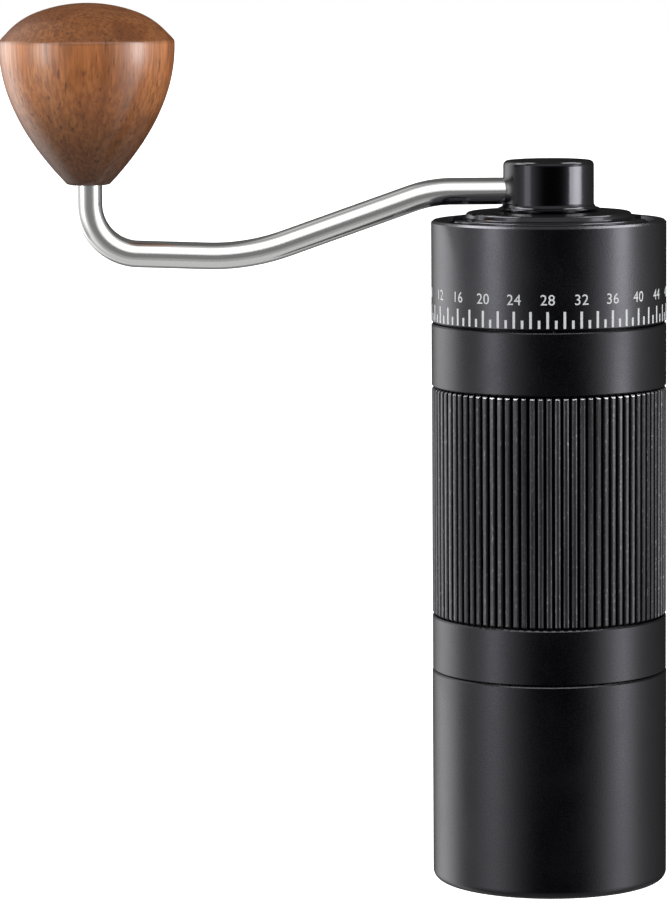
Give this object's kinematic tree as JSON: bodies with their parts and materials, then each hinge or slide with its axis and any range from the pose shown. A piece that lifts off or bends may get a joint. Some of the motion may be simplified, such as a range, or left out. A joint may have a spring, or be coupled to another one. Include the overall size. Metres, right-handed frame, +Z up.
{
  "type": "hand crank coffee grinder",
  "caption": "Slim hand coffee grinder with a ribbed grip, numbered grind dial, bent steel crank, wooden knob, conical burrs and pull-off catch cup.",
  "frame": {"origin": "centre of the catch cup's underside, on the crank's axis", "axes": "+Z up along the crank's axis, crank arm towards -X, grip ribs and dial scale face -Y"},
  "size_m": [0.1526, 0.0542, 0.2035],
  "materials": {
    "anodised_black": "satin bead-blasted black anodised",
    "grip_black": "matte black anodised, straight ribs",
    "steel": "ground",
    "burr_steel": "hardened, milled flutes",
    "arm_steel": "polished stainless",
    "cast_aluminium": "machined",
    "brass": "satin",
    "rubber": "matte",
    "black_oxide_steel": "black oxide",
    "nylon": "matte",
    "walnut": "stained, satin lacquer"
  },
  "bodies": {
    "housing": {"body_shell": "anodised_black", "grip_sleeve": "grip_black", "burr_housing": "steel", "cup_o_ring": "rubber", "outer_burr": "burr_steel", "burr_dowels": "steel", "lower_spider": "cast_aluminium", "lower_bearing_outer_race": "steel", "lower_bearing_shields": "steel", "lower_bearing_clip": "steel", "dial_snap_ring": "steel", "click_springs": "steel"},
    "cup": {"catch_cup": "anodised_black"},
    "dial": {"adjust_dial": "anodised_black", "click_ring": "steel"},
    "click_ball_pair": {"click_balls": "steel"},
    "bridge": {"bearing_bridge": "cast_aluminium", "upper_bearing_outer_race": "steel", "upper_bearing_shields": "steel", "upper_bearing_clip": "steel"},
    "upper_cage": {"upper_bearing_cage": "brass", "upper_bearing_balls": "steel"},
    "spindle": {"drive_shaft": "steel", "shaft_clip": "steel", "inner_burr": "burr_steel", "burr_washer": "steel", "burr_screw": "steel", "spring_seat": "steel", "burr_spring": "steel", "upper_bearing_inner_race": "steel"},
    "lower_race": {"lower_bearing_inner_race": "steel", "spring_cap": "steel"},
    "lower_cage": {"lower_bearing_cage": "brass", "lower_bearing_balls": "steel"},
    "crank": {"crank_hub": "anodised_black", "hex_socket": "steel", "hub_grub_screw": "black_oxide_steel", "crank_arm": "arm_steel", "lid_clip": "steel", "lid_washer": "nylon", "knob_snap_ring": "steel"},
    "lid": {"hopper_lid": "anodised_black", "lid_seal": "rubber"},
    "knob_turning": {"knob": "walnut", "knob_bush": "brass"}
  },
  "joints": [
    {"name": "dial_turn", "type": "hinge", "parent": "housing", "child": "dial", "pos_m": [0, 0, 0.14165], "axis": [0, 0, 1], "range_deg": [-216, 336]},
    {"name": "bridge_rise", "type": "slide", "parent": "housing", "child": "bridge", "axis": [0, 0, 1], "range_m": [-0.00091, 0.00141], "deforming": ["burr_spring"]},
    {"name": "click_ball_travel", "type": "slide", "parent": "housing", "child": "click_ball_pair", "axis": [0, 0, 1], "range_m": [-0.0003, 0], "stiffness_N_per_m": 800, "springref_m": 0.0005, "deforming": ["click_springs"]},
    {"name": "crank_spin", "type": "hinge", "parent": "bridge", "child": "spindle", "pos_m": [0, 0, 0.14165], "axis": [0, 0, 1], "continuous": true},
    {"name": "upper_cage_spin", "type": "hinge", "parent": "bridge", "child": "upper_cage", "pos_m": [0, 0, 0.14165], "axis": [0, 0, 1], "continuous": true},
    {"name": "lower_race_spin", "type": "hinge", "parent": "housing", "child": "lower_race", "pos_m": [0, 0, 0.0802], "axis": [0, 0, 1], "continuous": true},
    {"name": "lower_cage_spin", "type": "hinge", "parent": "housing", "child": "lower_cage", "pos_m": [0, 0, 0.0802], "axis": [0, 0, 1], "continuous": true},
    {"name": "crank_lift_off", "type": "slide", "parent": "spindle", "child": "crank", "axis": [0, 0, 1], "range_m": [0, 0.03]},
    {"name": "lid_stays", "type": "hinge", "parent": "crank", "child": "lid", "pos_m": [0, 0, 0.15365], "axis": [0, 0, 1], "continuous": true},
    {"name": "knob_spin", "type": "hinge", "parent": "crank", "child": "knob_turning", "pos_m": [-0.1054, 0, 0.17465], "axis": [0, 0, 1], "continuous": true},
    {"name": "cup_pull_off", "type": "slide", "parent": "housing", "child": "cup", "axis": [0, 0, -1], "range_m": [0, 0.03]}
  ],
  "couplings": [
    {"joint": "bridge_rise", "follows": "dial_turn", "m_per_rad": 0.00023873},
    {"joint": "upper_cage_spin", "follows": "crank_spin", "ratio": 0.4},
    {"joint": "lower_race_spin", "follows": "crank_spin", "ratio": 1},
    {"joint": "lower_cage_spin", "follows": "crank_spin", "ratio": 0.4},
    {"joint": "lid_stays", "follows": "crank_spin", "ratio": -1}
  ]
}
